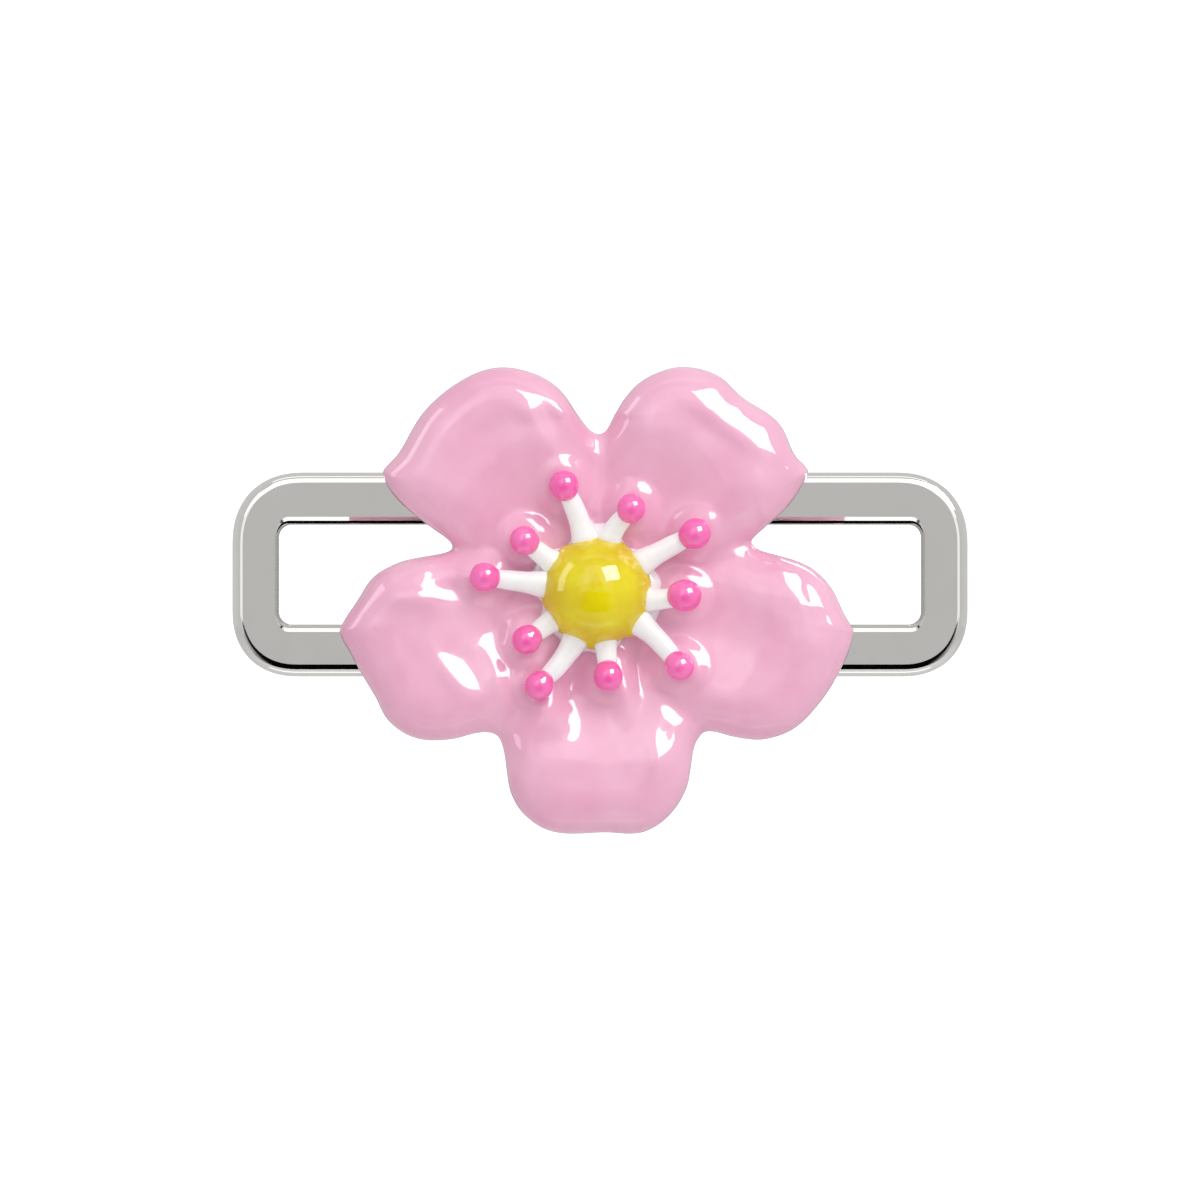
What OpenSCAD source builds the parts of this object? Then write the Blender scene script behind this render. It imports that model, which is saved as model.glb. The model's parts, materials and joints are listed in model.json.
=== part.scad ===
// Hat pin: an enamelled five-petal flower on an open slide frame, with a hinged
// bar pin and a turning safety catch on the back.
// Row frame: +X right, +Z up, the flower faces -Y. The origin is the middle of the
// slide frame on its back face, which lies against the hat.
// The modules draw on the bench: X right, Y up, Z towards the front. stand_up()
// turns a bench shape into the row frame.

/* [Slide frame] */
// Length of the frame
frame_w = 40; // [34:0.5:50]
// Height of the frame
frame_h = 11.1; // [9.5:0.1:14]
// Thickness of the frame, back to front
frame_t = 2.2; // [1.6:0.1:3]
// Width of the two long rails
rail_w = 2.68; // [1.8:0.02:3]
// Width of the two end rails
end_w = 2.35; // [1.8:0.05:4]
// Radius of the frame's outer corners
corner_r = 3.1; // [2:0.1:4]
// Radius of the slot's corners
slot_corner_r = 0.7; // [0.3:0.1:1]
// Radius of the rounded front edge
front_edge_r = 0.65; // [0.3:0.05:0.8]
// Radius of the rounded back edge
back_edge_r = 0.3; // [0.1:0.05:0.5]

/* [Bridge plate] */
// Width of the plate soldered across the slot behind the flower
bridge_w = 16; // [14:0.5:22]
// Thickness of the bridge plate
bridge_t = 1.0; // [0.7:0.1:1.3]
// Depth of the bridge plate below the frame's back face
bridge_set = 0.2; // [0.1:0.05:0.4]
// Gap left for solder round the bridge plate
solder_gap = 0.02; // [0.01:0.01:0.05]

/* [Flower] */
// Width across the two side petals
flower_w = 27.8; // [24:0.2:34]
// Drop of the flower's middle below the middle of the frame
flower_drop = 1.1; // [0:0.1:2]
// Thickness of the cast base under the enamel
base_t = 1.0; // [0.8:0.1:1.4]
// Enamel standing out past the edge of the base
base_inset = 0.9; // [0.6:0.1:1.3]
// Height of the enamel's flat seat in the middle, above the frame's front
seat_h = 2.2; // [1.8:0.1:2.8]
// Height of the petals' crest above the frame's front
crest_h = 3.4; // [2.8:0.1:4.2]
// How far the crest sinks in the creases between petals
crease_d = 0.8; // [0.3:0.1:1.2]
// Height of the widest line of the petal edge above the frame's front
rim_h = 1.4; // [1.2:0.1:1.8]
// Gap between the enamel's lower edge and the frame's front
under_gap = 0.3; // [0.2:0.05:0.5]

/* [Stamens] */
// Radius of the white hub and of the yellow dome on it
hub_r = 2.85; // [2.4:0.05:3.2]
// Height of the hub above its seat
hub_h = 1.4; // [1.3:0.1:1.8]
// Height of the dome above the hub
dome_h = 1.9; // [1.4:0.1:2.6]
// Radius of a stamen's round tip
anther_r = 0.76; // [0.6:0.02:0.9]
// Radius of a filament at the hub
filament_r = 0.48; // [0.4:0.02:0.58]
// Radius of a filament at its tip
filament_tip_r = 0.42; // [0.3:0.02:0.5]
// Height of a tip's middle above the seat
anther_h = 1.4; // [1.2:0.1:2]
// Radius of the peg that holds a filament in the hub
peg_r = 0.28; // [0.2:0.02:0.34]
// Depth of the peg in the hub
peg_len = 0.6; // [0.4:0.1:0.9]

/* [Bar pin] */
// Length of the bar
bar_w = 18; // [16:0.5:20]
// Height of the bar
bar_h = 3.5; // [3.3:0.1:3.9]
// Thickness of the bar
bar_t = 0.7; // [0.5:0.1:1]
// Radius of the pin stem
stem_r = 0.4; // [0.3:0.02:0.45]
// Distance of the stem's centre line from the bar
stem_lift = 1.65; // [1.6:0.05:2]
// How far the stem's point stands past the catch
point_past = 1.2; // [0.8:0.1:1.6]
// Radius of the hinge rivet
hinge_r = 0.5; // [0.4:0.05:0.6]
// Thickness of each hinge ear
ear_t = 0.6; // [0.4:0.1:0.8]
// Opening angle of the stem, just short of where its heel meets the bar
stem_open = 100; // [90:5:110]

/* [Safety catch] */
// Length of the catch housing along the stem
catch_len = 2.6; // [2:0.1:3.2]
// Wall of the catch housing
catch_wall = 0.35; // [0.3:0.05:0.5]
// Outer radius of the turning roller
roller_r = 1.1; // [1:0.05:1.2]
// Thickness of the roller's end flanges
flange_t = 0.35; // [0.3:0.05:0.5]
// Reach of the thumb tab from the roller's axis
tab_reach = 2.9; // [2.4:0.1:3.2]
// Width of the thumb tab
tab_w = 1.2; // [0.9:0.1:1.5]
// Angle of the thumb tab below the open mouth
tab_angle = 60; // [50:5:70]

/* [Rivets] */
// Distance between the two fixing rivets
rivet_pitch = 6; // [5:0.5:7]
// Radius of the rivet shanks
rivet_r = 0.6; // [0.4:0.05:0.7]
// Radius of the rivet heads
rivet_head_r = 1.05; // [0.9:0.05:1.3]
// Height of the rivet heads
rivet_head_h = 0.35; // [0.25:0.05:0.45]
// Radius of the flower base's bosses that the rivets end in
boss_r = 1.2; // [1:0.05:1.6]
// Depth that the rivets reach into the flower base
rivet_bite = 0.6; // [0.4:0.1:0.8]

/* [Clearances] */
// Radial clearance of a turning part
turn_gap = 0.04; // [0.02:0.01:0.08]
// Side clearance of a turning part
side_gap = 0.05; // [0.03:0.01:0.1]
// Radial clearance of a rivet in its hole
rivet_gap = 0.02; // [0.01:0.01:0.05]

/* [Hidden] */
$fn = 64;

slot_w = frame_w - 2 * end_w;
slot_h = frame_h - 2 * rail_w;
front_z = frame_t;                         // front face of the frame
cut = 1;                                   // overshoot of a cutting shape

// Petal edge, [direction in degrees, reach from the flower's middle], for a flower
// 27.8 wide: each petal has a rounded end, two shoulders and a small nub.
edge_ref_w = 27.8;
petal_edge = [
    // upper right
    [18, 8.8], [21, 9.1], [24, 10.8], [28, 12.4], [31, 13.1], [36, 13.1], [44, 13.55],
    [54, 13.3], [62, 13.6], [70, 13.25], [76, 12.45], [81, 11.4], [85, 10.0], [88, 8.95],
    // upper left
    [91, 8.8], [94, 9.1], [97, 9.9], [101, 11.4], [106, 12.5], [113, 13.5], [120, 13.9],
    [133, 13.9], [144, 13.45], [150, 13.5], [153, 13.0], [156, 11.6], [158.5, 9.8],
    [160.5, 8.7],
    // left
    [163, 8.5], [166, 9.1], [170, 10.8], [175, 12.3], [181, 13.2], [188, 14.25],
    [194, 13.95], [204, 13.5], [211, 13.45], [218, 12.75], [224, 11.4], [228, 10.2],
    [231, 9.7],
    // bottom
    [234, 9.55], [237, 9.8], [241, 10.6], [245, 11.7], [250, 12.6], [258, 13.2],
    [271, 13.0], [280, 13.2], [287, 12.7], [294, 11.6], [299, 10.35], [302, 9.75],
    // right
    [306, 9.45], [309, 9.6], [313, 10.6], [318, 11.85], [325, 12.85], [333, 13.35],
    [341, 13.7], [351, 13.95], [356, 13.3], [362, 12.6], [368, 11.45], [372, 10.1],
    [375, 9.2]
];
petals = 5;
notch_dir = 18;                            // direction of one crease
edge_steps = 144;                          // points round the flower
edge_count = len(petal_edge);

// Stamens, [direction of the tip, reach of the tip, turn of the root]
stamens = [
    [107, 5.9, -5], [67, 4.8, 10], [30, 6.1, 2], [-3, 4.75, -7], [-42, 6.0, 6],
    [-82, 4.6, 2], [-121, 5.9, 8], [-145, 4.55, -1], [173, 6.0, 0], [145, 4.7, 2]
];
cluster_shift = [-0.2, 0.2];               // middle of the stamens from the flower's
seat_r = hub_r + norm(cluster_shift) + 0.1;
filament_sides = 10;
filament_rings = 8;
neck_r = sqrt(anther_r * anther_r - filament_tip_r * filament_tip_r);

// The bar lies behind the flower's middle, but always inside the slot
pin_y = -min(flower_drop, (slot_h - bar_h) / 2 - solder_gap);
bridge_z = bridge_set + bridge_t;          // front of the bridge plate
bar_face_z = bridge_set - bar_t;           // face of the bar that carries the pin
axis_z = bar_face_z - stem_lift;           // centre line of the stem
eye_r = hinge_r + turn_gap + 0.44;
ear_r = eye_r;
eye_t = 2 * stem_r + 0.5;
hinge_x = ear_r - bar_w / 2 + 0.45;
heel_lean = 45;                            // heel's angle from straight down when open
heel_dir = 270 - heel_lean - stem_open;
heel_len = (stem_lift - side_gap - stem_r * sin(heel_lean)) / cos(heel_lean);
point_r = 0.06;

housing_in_r = roller_r + turn_gap;
housing_r = housing_in_r + catch_wall;
mouth_half = stem_r + 0.22;
roller_bore_r = stem_r + 0.1;
roller_len = catch_len + 2 * (side_gap + flange_t);
flange_r = min(housing_r, stem_lift - 2 * side_gap);
catch_x = bar_w / 2 - catch_len / 2 - 1.25;
stem_len = catch_x - hinge_x + roller_len / 2 + point_past;
point_len = roller_len + 0.3 + point_past; // the taper starts just before the catch
foot_w = 1.8;
stub_r = 0.5;                              // rivet stub of the catch housing

names_2 = ["01", "02", "03", "04", "05", "06", "07", "08", "09", "10"];

// ---- helpers -------------------------------------------------------------------

module stand_up() rotate([90, 0, 0]) children();

// A cylinder along bench Y, from y0 to y1
module y_rod(r, y0, y1) translate([0, y1, 0]) rotate([90, 0, 0]) cylinder(r = r, h = y1 - y0);

// A cylinder along bench X, from x0 to x1
module x_rod(r, x0, x1) translate([x0, 0, 0]) rotate([0, 90, 0]) cylinder(r = r, h = x1 - x0);

module rounded_rect(w, h, r) {
    square([w - 2 * r, h], center = true);
    square([w, h - 2 * r], center = true);
    for (x = [-1, 1], y = [-1, 1]) translate([x * (w / 2 - r), y * (h / 2 - r)]) circle(r);
}

// The cap of a ball, r across its flat foot and h high
module low_dome(r, h) {
    ball_r = (r * r + h * h) / (2 * h);
    rotate_extrude() intersection() {
        translate([0, h - ball_r]) circle(ball_r);
        square([r + cut, h + cut]);
    }
}

// Direction d as a rotation of the Z axis
module aim(d) rotate([0, acos(d[2] / norm(d)), atan2(d[1], d[0])]) children();

// A closed solid from rings of points that all have the same count
module ring_solid(rings, cap_start, cap_end) {
    n = len(rings[0]);
    m = len(rings);
    points = concat([for (ring = rings) each ring], [cap_start, cap_end]);
    faces = concat(
        [for (k = [0 : m - 2], j = [0 : n - 1], half = [0, 1])
            let (a = k * n + j, b = k * n + (j + 1) % n, c = a + n, d = b + n)
            half == 0 ? [a, b, c] : [b, d, c]],
        [for (j = [0 : n - 1]) [m * n, (j + 1) % n, j]],
        [for (j = [0 : n - 1]) [m * n + 1, (m - 1) * n + j, (m - 1) * n + (j + 1) % n]]
    );
    polyhedron(points, faces, convexity = 6);
}

// ---- slide frame ---------------------------------------------------------------

// Half section of the frame's outer edge: x runs outwards over corner_r
module edge_section() difference() {
    square([corner_r, frame_t]);
    difference() {
        translate([corner_r - front_edge_r, frame_t - front_edge_r]) square(front_edge_r + cut);
        translate([corner_r - front_edge_r, frame_t - front_edge_r]) circle(front_edge_r);
    }
    difference() {
        translate([corner_r - back_edge_r, -cut]) square([back_edge_r + cut, back_edge_r + cut]);
        translate([corner_r - back_edge_r, back_edge_r]) circle(back_edge_r);
    }
}

module frame_side(length) rotate([90, 0, 0]) translate([0, 0, -length / 2])
    linear_extrude(length) edge_section();

module frame_blank() {
    in_w = frame_w - 2 * corner_r;
    in_h = frame_h - 2 * corner_r;
    translate([-in_w / 2, -in_h / 2, 0]) cube([in_w, in_h, frame_t]);
    for (a = [0, 180]) rotate(a) {
        translate([in_w / 2, 0, 0]) frame_side(in_h);
        rotate(90) translate([in_h / 2, 0, 0]) frame_side(in_w);
        translate([in_w / 2, in_h / 2, 0]) rotate_extrude(angle = 90) edge_section();
        translate([in_w / 2, -in_h / 2, 0]) rotate([0, 0, -90]) rotate_extrude(angle = 90) edge_section();
    }
}

module slide_frame() color("silver") stand_up() difference() {
    frame_blank();
    translate([0, 0, -cut]) linear_extrude(frame_t + 2 * cut) rounded_rect(slot_w, slot_h, slot_corner_r);
}

module bridge_plate() color("gainsboro") stand_up() difference() {
    translate([-bridge_w / 2, solder_gap - slot_h / 2, bridge_set])
        cube([bridge_w, slot_h - 2 * solder_gap, bridge_t]);
    at_rivets() translate([0, 0, -cut]) cylinder(r = rivet_r + rivet_gap, h = bridge_z + 2 * cut);
}

// ---- flower --------------------------------------------------------------------

// Smooth curve through petal_edge: the reach at direction a
function edge_at(i) = let (k = (i + edge_count) % edge_count)
    [petal_edge[k][0] + 360 * floor(i / edge_count), petal_edge[k][1]];
function slope_at(i) = let (p = edge_at(i - 1), q = edge_at(i + 1)) (q[1] - p[1]) / (q[0] - p[0]);
function last_before(a, i = 0) = i + 1 >= edge_count || petal_edge[i + 1][0] > a ? i : last_before(a, i + 1);
function reach(a) =
    let (b = a < petal_edge[0][0] ? a + 360 : a, i = last_before(b), p = edge_at(i), q = edge_at(i + 1),
         w = q[0] - p[0], t = (b - p[0]) / w, u = 1 - t)
    (p[1] * (1 + 2 * t) * u * u + q[1] * (3 - 2 * t) * t * t
     + w * (slope_at(i) * t * u * u - slope_at(i + 1) * t * t * u)) * flower_w / edge_ref_w;

edge_dirs = [for (i = [0 : edge_steps - 1]) 360 * i / edge_steps];
edge = [for (a = edge_dirs) reach(a)];

// 1 on a petal's own axis and 0 in a crease
function petal_share(a) = (1 - cos(petals * (a - notch_dir))) / 2;

// Height of the enamel's face at share u of the way from the seat to the edge
crest_u = 0.72;
rim_u = 0.78;
function crest(a) = crest_h - crease_d * (1 - petal_share(a));
function face_h(a, u) =
    u < crest_u ? seat_h + (crest(a) - seat_h) * (1 - cos(180 * u / crest_u)) / 2
    : u < rim_u ? crest(a)
    : rim_h + (crest(a) - rim_h) * sqrt(max(0, 1 - pow((u - rim_u) / (1 - rim_u), 2)));

// One ring of the enamel: share u out to the edge, drawn in by inset, at height h
function enamel_ring(u, inset, h) = [for (i = [0 : edge_steps - 1])
    let (r = seat_r + (edge[i] - inset - seat_r) * u, a = edge_dirs[i])
    [r * cos(a), r * sin(a), h < 0 ? face_h(a, u) : h]];

face_shares = [0, 0.12, 0.26, 0.4, 0.55, crest_u, rim_u, 0.85, 0.91, 0.96, 0.99, 1];
enamel_rings = concat(
    [for (u = face_shares) enamel_ring(u, 0, -1)],
    [enamel_ring(1, base_inset * 0.15, (rim_h + under_gap) / 2),
     enamel_ring(1, base_inset * 0.5, under_gap),
     enamel_ring(1, base_inset - rivet_gap, under_gap),
     enamel_ring(1, base_inset - rivet_gap, base_t)]
);

module at_flower() translate([0, -flower_drop, front_z]) children();

module petal_enamel() color("pink") stand_up() at_flower()
    ring_solid(enamel_rings, [0, 0, seat_h], [0, 0, base_t]);

module flower_base() color("silver") stand_up() difference() {
    union() {
        at_flower() linear_extrude(base_t) polygon([for (i = [0 : edge_steps - 1])
            (edge[i] - base_inset) * [cos(edge_dirs[i]), sin(edge_dirs[i])]]);
        at_rivets() translate([0, 0, bridge_z]) cylinder(r = boss_r, h = front_z - bridge_z);
    }
    at_rivets() translate([0, 0, bridge_z - cut]) cylinder(r = rivet_r, h = cut + front_z - bridge_z + rivet_bite);
}

// ---- stamens -------------------------------------------------------------------

module at_stamens() at_flower() translate([cluster_shift[0], cluster_shift[1], seat_h]) children();

module stamen_hub() color("white") stand_up() at_stamens() difference() {
    cylinder(r = hub_r, h = hub_h);
    for (i = [0 : len(stamens) - 1]) peg(i);
}

module centre_dome() color("gold") stand_up() at_stamens() translate([0, 0, hub_h]) low_dome(hub_r, dome_h);

// Centre line of filament i: it leaves the hub level, then curves up to its tip
root_h = hub_h - filament_r - 0.07;
function polar(r, a, z) = [r * cos(a), r * sin(a), z];
function root_dir(i) = stamens[i][0] + stamens[i][2];
function tip(i) = polar(stamens[i][1], stamens[i][0], anther_h);
function root(i) = polar(hub_r, root_dir(i), root_h);
function elbow(i) = polar(hub_r + 0.35 * (stamens[i][1] - hub_r), root_dir(i), root_h);
function neck(i) = tip(i) + neck_r * (elbow(i) - tip(i)) / norm(elbow(i) - tip(i));
function on_line(i, t) = (1 - t) * (1 - t) * root(i) + 2 * t * (1 - t) * elbow(i) + t * t * neck(i);
function along(i, t) = let (d = (1 - t) * (elbow(i) - root(i)) + t * (neck(i) - elbow(i))) d / norm(d);
function filament_ring(i, t) =
    let (c = on_line(i, t), d = along(i, t), s = cross(d, [0, 0, 1]) / norm(cross(d, [0, 0, 1])),
         up = cross(s, d), r = filament_r + (filament_tip_r - filament_r) * t)
    [for (j = [0 : filament_sides - 1]) let (a = 360 * j / filament_sides) c + r * (cos(a) * s + sin(a) * up)];

// The peg runs from inside the filament to the bottom of its hole in the hub
module peg(i) translate([0, 0, root_h]) rotate([0, 90, root_dir(i)])
    translate([0, 0, hub_r - peg_len]) cylinder(r = peg_r, h = peg_len + 0.1);

module filament(i) color("whitesmoke") stand_up() at_stamens() union() {
    ring_solid([for (k = [0 : filament_rings]) filament_ring(i, k / filament_rings)], root(i), neck(i));
    peg(i);
}

// A ball turned about the filament's end, with a flat where the two meet
module anther(i) color("hotpink") stand_up() at_stamens() translate(tip(i)) aim(neck(i) - tip(i))
    rotate_extrude() intersection() {
        circle(anther_r);
        translate([0, -anther_r]) square([anther_r, anther_r + neck_r]);
    }

// ---- bar pin -------------------------------------------------------------------

module at_rivets() for (x = [-1, 1]) translate([x * rivet_pitch / 2, pin_y, 0]) children();
module at_hinge() translate([hinge_x, pin_y, axis_z]) children();
module at_catch() translate([catch_x, pin_y, axis_z]) children();

module ear() {
    y_rod(ear_r, 0, ear_t);
    translate([-ear_r, 0, 0]) cube([2 * ear_r, ear_t, stem_lift + bar_t / 2]);
}

module pin_bar() color("lightgray") stand_up() difference() {
    union() {
        translate([0, pin_y, bar_face_z]) linear_extrude(bar_t) rounded_rect(bar_w, bar_h, 0.9);
        at_hinge() for (side = [0, 1]) mirror([0, side, 0]) translate([0, eye_t / 2 + side_gap, 0]) ear();
    }
    at_hinge() y_rod(hinge_r, -bar_h, bar_h);
    at_rivets() translate([0, 0, bar_face_z - cut]) cylinder(r = rivet_r + rivet_gap, h = bar_t + 2 * cut);
    translate([catch_x, pin_y, bar_face_z - cut]) cylinder(r = stub_r + rivet_gap, h = bar_t + 2 * cut);
}

module hinge_rivet() color("darkgray") stand_up() at_hinge() {
    reach_y = eye_t / 2 + side_gap + ear_t;
    y_rod(hinge_r, -reach_y, reach_y);
    for (side = [0, 1]) mirror([0, side, 0]) y_rod(hinge_r + 0.22, reach_y, reach_y + 0.25);
}

module pin_stem() color("lightsteelblue") stand_up() at_hinge() difference() {
    union() {
        y_rod(eye_r, -eye_t / 2, eye_t / 2);
        x_rod(stem_r, 0, stem_len - point_len);
        translate([stem_len - point_len, 0, 0]) rotate([0, 90, 0]) cylinder(r1 = stem_r, r2 = point_r, h = point_len);
        rotate([0, heel_dir, 0]) translate([0, -stem_r, -stem_r]) cube([heel_len, 2 * stem_r, 2 * stem_r]);
    }
    y_rod(hinge_r + turn_gap, -eye_t, eye_t);
}

// ---- safety catch --------------------------------------------------------------

module catch_housing() color("silver") stand_up() at_catch() difference() {
    union() {
        x_rod(housing_r, -catch_len / 2, catch_len / 2);
        translate([-catch_len / 2, -foot_w / 2, 0]) cube([catch_len, foot_w, stem_lift]);
        cylinder(r = stub_r, h = stem_lift + bar_t);
    }
    x_rod(housing_in_r, -catch_len, catch_len);
    translate([-catch_len, -mouth_half, -2 * housing_r]) cube([2 * catch_len, 2 * mouth_half, 2 * housing_r]);
}

module catch_roller() color("darkgray") stand_up() at_catch() difference() {
    union() {
        x_rod(roller_r, -roller_len / 2, roller_len / 2);
        for (side = [0, 1]) mirror([side, 0, 0]) x_rod(flange_r, catch_len / 2 + side_gap, roller_len / 2);
        rotate([-tab_angle, 0, 0]) translate([catch_len / 2 + side_gap, -tab_w / 2, -tab_reach])
            cube([flange_t, tab_w, tab_reach]);
    }
    x_rod(roller_bore_r, -roller_len, roller_len);
    translate([-roller_len, -roller_bore_r, -2 * flange_r]) cube([2 * roller_len, 2 * roller_bore_r, 2 * flange_r]);
}

module fixing_rivets() color("darkgray") stand_up() at_rivets() {
    translate([0, 0, bar_face_z]) cylinder(r = rivet_r, h = front_z + rivet_bite - bar_face_z);
    translate([0, 0, bar_face_z]) rotate([180, 0, 0]) low_dome(rivet_head_r, rivet_head_h);
}

// ---- nodes ---------------------------------------------------------------------

slide_frame();
bridge_plate();
flower_base();
petal_enamel();
stamen_hub();
centre_dome();
for (i = [0 : len(stamens) - 1]) {
    filament(i);
    anther(i);
}
pin_bar();
hinge_rivet();
pin_stem();
catch_housing();
catch_roller();
fixing_rivets();
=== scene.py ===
import json
import math

import bpy
import numpy as np
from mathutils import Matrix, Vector

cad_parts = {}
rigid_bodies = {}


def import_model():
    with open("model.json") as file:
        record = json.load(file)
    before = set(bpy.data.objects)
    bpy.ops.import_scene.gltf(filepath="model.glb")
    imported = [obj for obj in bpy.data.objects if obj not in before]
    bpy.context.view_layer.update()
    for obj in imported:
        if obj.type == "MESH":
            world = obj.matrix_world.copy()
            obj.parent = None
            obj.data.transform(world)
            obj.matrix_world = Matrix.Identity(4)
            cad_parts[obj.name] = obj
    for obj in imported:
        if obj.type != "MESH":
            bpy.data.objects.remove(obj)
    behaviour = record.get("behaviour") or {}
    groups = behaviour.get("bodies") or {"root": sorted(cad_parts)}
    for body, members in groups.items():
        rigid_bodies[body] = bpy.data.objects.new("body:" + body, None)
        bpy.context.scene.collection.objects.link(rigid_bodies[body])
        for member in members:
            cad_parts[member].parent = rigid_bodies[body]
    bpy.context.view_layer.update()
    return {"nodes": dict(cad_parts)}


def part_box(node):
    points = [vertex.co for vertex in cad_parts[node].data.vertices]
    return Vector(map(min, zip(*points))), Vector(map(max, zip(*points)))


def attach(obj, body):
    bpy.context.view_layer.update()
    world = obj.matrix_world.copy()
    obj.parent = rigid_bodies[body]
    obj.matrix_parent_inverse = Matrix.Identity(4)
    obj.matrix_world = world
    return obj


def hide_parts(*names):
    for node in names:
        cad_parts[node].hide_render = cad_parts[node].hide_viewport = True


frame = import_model()
mm = 0.001

frameLow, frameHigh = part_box("slide_frame")
barLow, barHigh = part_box("pin_bar")
domeLow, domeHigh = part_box("centre_dome")
frontY = frameLow.y                        # the slide frame's front face
flowerZ = (barLow.z + barHigh.z) / 2       # the pin bar lies behind the middle of the flower
domeX = (domeLow.x + domeHigh.x) / 2 / mm  # the yellow centre is a little off the flower's own
domeZ = ((domeLow.z + domeHigh.z) / 2 - flowerZ) / mm
print("frame loaded")


# small helpers for the bench

def onlyThis(obj):
    if bpy.context.object and bpy.context.object.mode != "OBJECT":
        bpy.ops.object.mode_set(mode="OBJECT")
    for other in bpy.context.view_layer.objects:
        other.select_set(False)
    obj.select_set(True)
    bpy.context.view_layer.objects.active = obj


def startFresh():
    for other in bpy.context.view_layer.objects:
        other.select_set(False)


def named(name):
    obj = bpy.context.object
    obj.name = name
    obj.data.name = name
    onlyThis(obj)
    bpy.ops.object.transform_apply(location=True, rotation=True, scale=True)
    return obj


def corners(obj):
    places = np.empty(len(obj.data.vertices) * 3)
    obj.data.vertices.foreach_get("co", places)
    return places.reshape(-1, 3)


def moveCorners(obj, places):
    obj.data.vertices.foreach_set("co", np.ravel(places))
    obj.data.update()


def outwards(obj, weld=1e-7):
    onlyThis(obj)
    bpy.ops.object.mode_set(mode="EDIT")
    bpy.ops.mesh.select_all(action="SELECT")
    bpy.ops.mesh.remove_doubles(threshold=weld)
    bpy.ops.mesh.normals_make_consistent(inside=False)
    bpy.ops.object.mode_set(mode="OBJECT")


def smooth(obj, degrees=None):
    onlyThis(obj)
    if degrees is None:
        bpy.ops.object.shade_smooth()
    else:
        bpy.ops.object.shade_smooth_by_angle(angle=math.radians(degrees))


def finishModifiers(obj):
    onlyThis(obj)
    for modifier in list(obj.modifiers):
        bpy.ops.object.modifier_apply(modifier=modifier.name)


def dress(obj, finish, slotName, body, *nodes):
    obj.data.materials.clear()
    obj.data.materials.append(finish)
    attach(obj, body)
    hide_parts(*nodes)
    return obj


def softStep(t):
    t = np.clip(t, 0, 1)
    return t * t * (3 - 2 * t)


def turnFrom(direction, middle):
    return (direction - middle + 180) % 360 - 180    # signed, in degrees


def bump(value, width):
    return np.exp(-(value / width) ** 2 / 2)


def rowPlace(x, z, h):
    # flower millimetres, h counted forwards from the slide frame's face
    return np.stack([x * mm, frontY - h * mm, flowerZ + z * mm], axis=-1)


ballRadius = 0.01


def frontBall(name, segments, rings):
    # ball with its poles along Y; gives each corner's direction and its row counted from the front pole
    startFresh()
    bpy.ops.mesh.primitive_uv_sphere_add(segments=segments, ring_count=rings, radius=ballRadius,
                                         rotation=(math.pi / 2, 0, 0))
    ball = named(name)
    places = corners(ball)
    fromPole = np.arccos(np.clip(-places[:, 1] / ballRadius, -1, 1))
    rows = np.rint(fromPole / math.pi * rings).astype(int)
    directions = np.degrees(np.arctan2(places[:, 2], places[:, 0])) % 360
    return ball, directions, rows


# finishes

def tone(red, green, blue):
    return [((c / 255 + 0.055) / 1.055) ** 2.4 if c > 10 else c / 255 / 12.92 for c in (red, green, blue)] + [1]


class Bench:
    # a material's node tree with short words for what is used here
    def __init__(self, name):
        self.material = bpy.data.materials.new(name)
        self.material.use_nodes = True
        self.tree = self.material.node_tree
        self.shader = self.tree.nodes["Principled BSDF"]
        self.coords = self.tree.nodes.new("ShaderNodeTexCoord").outputs["Object"]

    def link(self, a, b):
        self.tree.links.new(a, b)

    def stretched(self, scale):
        mapping = self.tree.nodes.new("ShaderNodeMapping")
        mapping.inputs["Scale"].default_value = scale
        self.link(self.coords, mapping.inputs["Vector"])
        return mapping.outputs["Vector"]

    def noise(self, scale, detail=2.0, roughness=0.5, vector=None):
        node = self.tree.nodes.new("ShaderNodeTexNoise")
        node.inputs["Scale"].default_value = scale
        node.inputs["Detail"].default_value = detail
        node.inputs["Roughness"].default_value = roughness
        self.link(vector or self.coords, node.inputs["Vector"])
        return node.outputs["Fac"]

    def ranged(self, value, low, high, toLow, toHigh):
        node = self.tree.nodes.new("ShaderNodeMapRange")
        for socket, number in zip(("From Min", "From Max", "To Min", "To Max"), (low, high, toLow, toHigh)):
            node.inputs[socket].default_value = number
        self.link(value, node.inputs["Value"])
        return node.outputs["Result"]

    def mixed(self, amount, first, second):
        node = self.tree.nodes.new("ShaderNodeMix")
        node.data_type = "RGBA"
        self.link(amount, node.inputs["Factor"])
        for socket, colour in ((node.inputs[6], first), (node.inputs[7], second)):
            if hasattr(colour, "is_linked"):
                self.link(colour, socket)
            else:
                socket.default_value = colour
        return node.outputs[2]

    def raised(self, value, strength, distance):
        node = self.tree.nodes.new("ShaderNodeBump")
        node.inputs["Strength"].default_value = strength
        node.inputs["Distance"].default_value = distance
        self.link(value, node.inputs["Height"])
        self.link(node.outputs["Normal"], self.shader.inputs["Normal"])


def enamelFinish(name, light, deep, patch=260, roughLow=0.03, roughHigh=0.06, ior=1.52):
    bench = Bench(name)
    cloudy = bench.ranged(bench.noise(patch, 3, 0.55), 0.35, 0.65, 0, 1)
    bench.link(bench.mixed(cloudy, light, deep), bench.shader.inputs["Base Color"])
    uneven = bench.ranged(bench.noise(patch * 2.2, 2), 0.3, 0.7, roughLow, roughHigh)
    bench.link(uneven, bench.shader.inputs["Roughness"])
    bench.shader.inputs["IOR"].default_value = ior
    bench.raised(bench.noise(patch * 3.5, 2, 0.4), 0.12, 0.00002)
    return bench.material


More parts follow.
